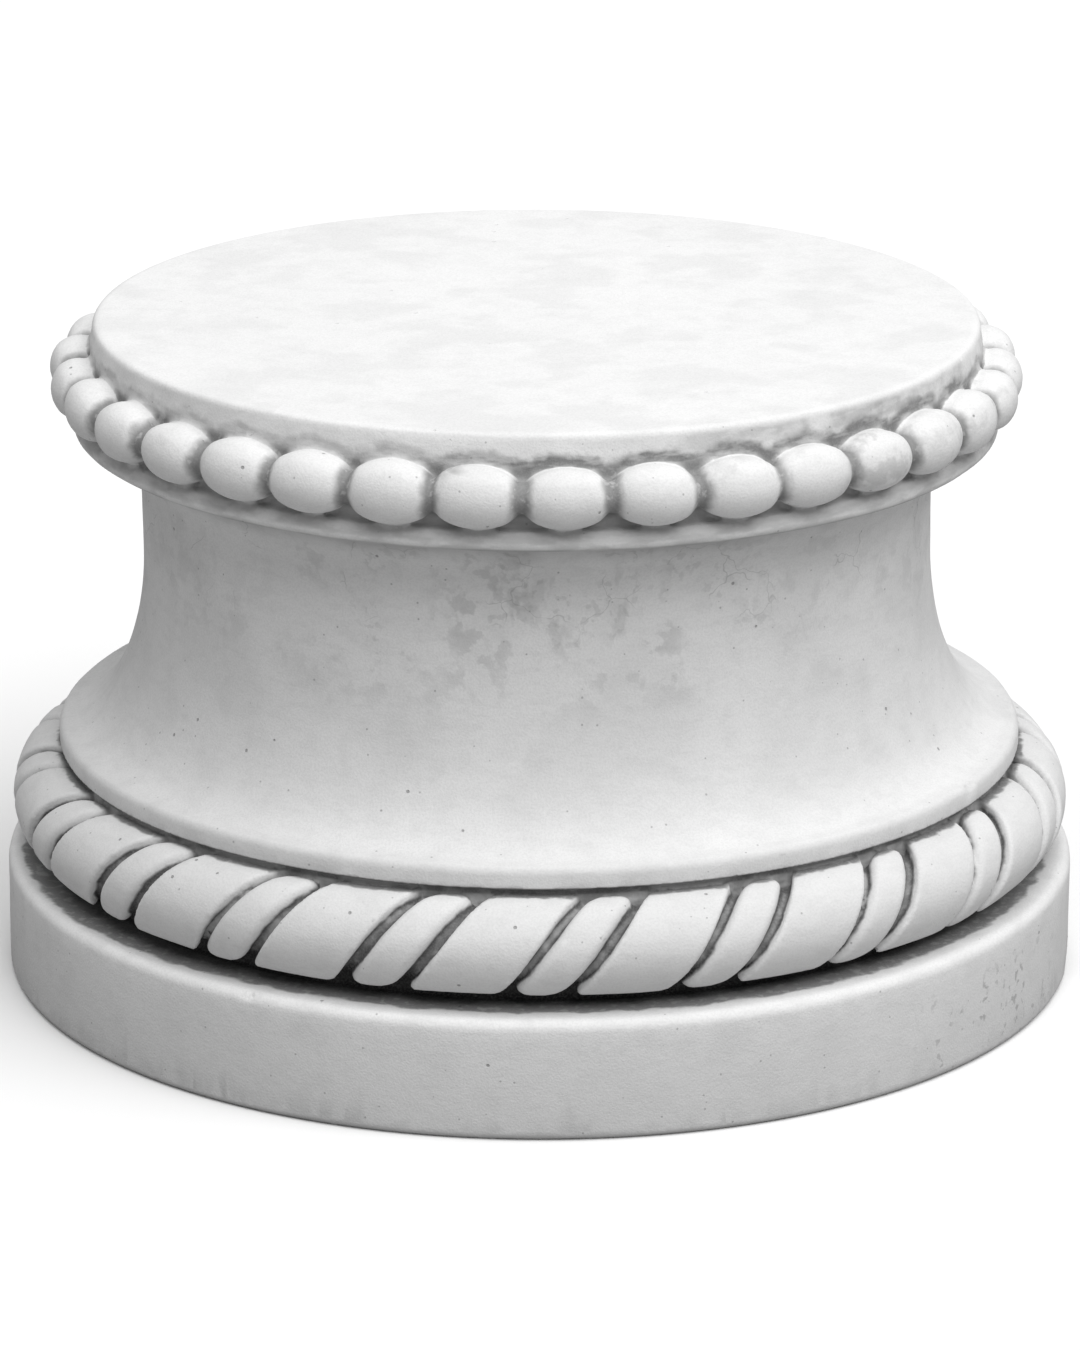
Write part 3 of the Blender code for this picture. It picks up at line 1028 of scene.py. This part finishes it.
# %% Stains on the disc, the beads at the right and the foot
upper_courses = band(height, lip_top + 0.002, lip_top + 0.010, top - 0.0045, top - 0.0015)
stain_zone = times(band(angle, 0.20, 0.60, 1.35, 1.60), upper_courses)
stains = times(fade(tree, blots, 0.46, 0.68), clouds_of(MIDDLING, 0.38, 0.58), stain_zone)
colour = tint(tree, times(stains, 0.30), colour, grey(0.30))
on_disc_side = band(height, disc_foot - 0.0015, disc_foot + 0.0010, top - 0.0040, top - 0.0010)
rubbed_zone = times(band(angle, 0.12, 0.45, 1.00, 1.40), on_disc_side)
wiped = between(clouds_of(SMALL, 0.46, 0.62, rubbed), 1.0, 0.50)
smeared = times(clouds_of(MIDDLING, 0.38, 0.56), wiped)
colour = tint(tree, times(smeared, rubbed_zone, 0.44), colour, grey(0.24))
low_on_side = band(height, 0.0, 0.006, 0.030, BASE_HEIGHT - 0.0072)
low_right = times(band(angle, 0.70, 0.85, 1.10, 1.30), low_on_side)
smears = times(clouds_of(SPECKS, 0.54, 0.62), clouds_of(NARROW, 0.48, 0.56, running), low_right)
colour = tint(tree, times(smears, 0.50), colour, grey(0.22))

# %% Worn edges, pits and hairlines
worn = times(fade(tree, edge_value, -50.0, -170.0), between(end_dirt, 1.0, 0.15))
colour = tint(tree, times(worn, 0.40), colour, grey(0.86))
tiny_pits = place_group(
    tree, holes_group, {"Place": place, "Spacing": 0.0055, "Size": 0.0006, "Share": 0.34}
)
more_on_rope = between(on_rope, 0.20, 0.42)
small_pits = place_group(
    tree, holes_group, {"Place": place, "Spacing": 0.0110, "Size": 0.0009, "Share": more_on_rope}
)
pits = work_out(tree, "MAXIMUM", times(tiny_pits, 0.75), small_pits)
pits = times(pits, between(on_top, 1.0, 0.15))
colour = tint(tree, times(pits, 0.62), colour, grey(0.14))
hairlines = place_group(tree, cracks_group, {"Place": place, "Size": 0.024, "Width": 0.00035})
below_lip = band(height, flare_top - 0.005, waist_top - 0.004, neck_top - 0.001, neck_top + 0.002)
hairlines = times(hairlines, clouds_of(MIDDLING, 0.52, 0.60), below_lip)
colour = tint(tree, times(hairlines, 0.34), colour, grey(0.20))

# %% Grain, and the finished stone
grain = lay(tree, "TexNoise", {"Vector": place, "Scale": 1100.0, "Detail": 2.0}).outputs[0]
speckle = fade(tree, grain, 0.40, 0.66)
colour = tint(tree, times(speckle, 0.14), colour, grey(0.46))
lumps = lay(tree, "TexNoise", {"Vector": place, "Scale": 240.0, "Detail": 2.0}).outputs[0]
relief = work_out(tree, "ADD", times(grain, 0.45), times(lumps, 0.38))
relief = work_out(tree, "SUBTRACT", relief, small_pits)
bump = lay(tree, "Bump", {"Strength": 0.7, "Distance": 0.0005, "Height": relief})
roughness = work_out(tree, "MULTIPLY_ADD", speckle, 0.10)
roughness.node.inputs[2].default_value = 0.80
tree.links.new(colour, shader.inputs["Base Color"])
tree.links.new(roughness, shader.inputs["Roughness"])
tree.links.new(bump.outputs[0], shader.inputs["Normal"])
shader.inputs["Specular IOR Level"].default_value = 0.30
body.data.materials.clear()
body.data.materials.append(stone)
print("The stone has", len(tree.nodes), "nodes")

# %% [markdown]
# ## Floor and light
# The pedestal stands on a plain pale floor in soft light, as on an overcast day: a wide lamp
# overhead does most of the work, and an even sky fills the shadows. The floor looks pale to
# the camera but throws back little light, as if dark cards lay round the pedestal. Without
# them its lower half would be lit as much from below as from above.

# %% Lay the floor
FLOOR_SIZE = 24.0
FLOOR_SEEN = 0.90
FLOOR_THROWN_BACK = 0.30

bpy.ops.mesh.primitive_plane_add(size=FLOOR_SIZE)
floor = bpy.context.object
floor.name = "floor"
paint = bpy.data.materials.new("pale_floor")
paint.use_nodes = True
floor_tree = paint.node_tree
floor_tree.nodes.clear()
seen = lay(floor_tree, "BsdfDiffuse", {"Color": grey(FLOOR_SEEN)})
thrown_back = lay(floor_tree, "BsdfDiffuse", {"Color": grey(FLOOR_THROWN_BACK)})
looked_at = lay(floor_tree, "LightPath").outputs["Is Camera Ray"]
either = lay(floor_tree, "MixShader", {0: looked_at, 1: thrown_back.outputs[0], 2: seen.outputs[0]})
lay(floor_tree, "OutputMaterial", {"Surface": either.outputs[0]})
floor.data.materials.append(paint)

# %% Hang the lamp and light the sky
LAMP_SPREAD = math.radians(66)
LAMP_STRENGTH = 2.75
LAMP_FROM = (0.31, -0.42, 1.0)
SKY_LIGHT = 0.41

lamp = bpy.data.objects.new("overhead_lamp", bpy.data.lights.new("overhead_lamp", "SUN"))
bpy.context.scene.collection.objects.link(lamp)
lamp.data.angle = LAMP_SPREAD
lamp.data.energy = LAMP_STRENGTH
lamp.rotation_euler = (-Vector(LAMP_FROM)).to_track_quat("-Z", "Y").to_euler()
world = bpy.data.worlds.new("soft_room")
bpy.context.scene.world = world
world.use_nodes = True
sky_tree = world.node_tree
sky_tree.nodes.clear()
lit = lay(sky_tree, "Background", {"Color": grey(1.0), "Strength": SKY_LIGHT})
beyond_floor = lay(sky_tree, "Background", {"Color": grey(1.0), "Strength": 1.0})
looked_at = lay(sky_tree, "LightPath").outputs["Is Camera Ray"]
either = lay(sky_tree, "MixShader", {0: looked_at, 1: lit.outputs[0], 2: beyond_floor.outputs[0]})
lay(sky_tree, "OutputWorld", {"Surface": either.outputs[0]})
bpy.context.scene.view_settings.view_transform = "Standard"
print("Lamp from", LAMP_FROM, "with a spread of", round(math.degrees(LAMP_SPREAD)), "degrees")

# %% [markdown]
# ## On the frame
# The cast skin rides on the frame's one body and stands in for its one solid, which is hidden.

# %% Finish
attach(body, "root")
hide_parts("pedestal")
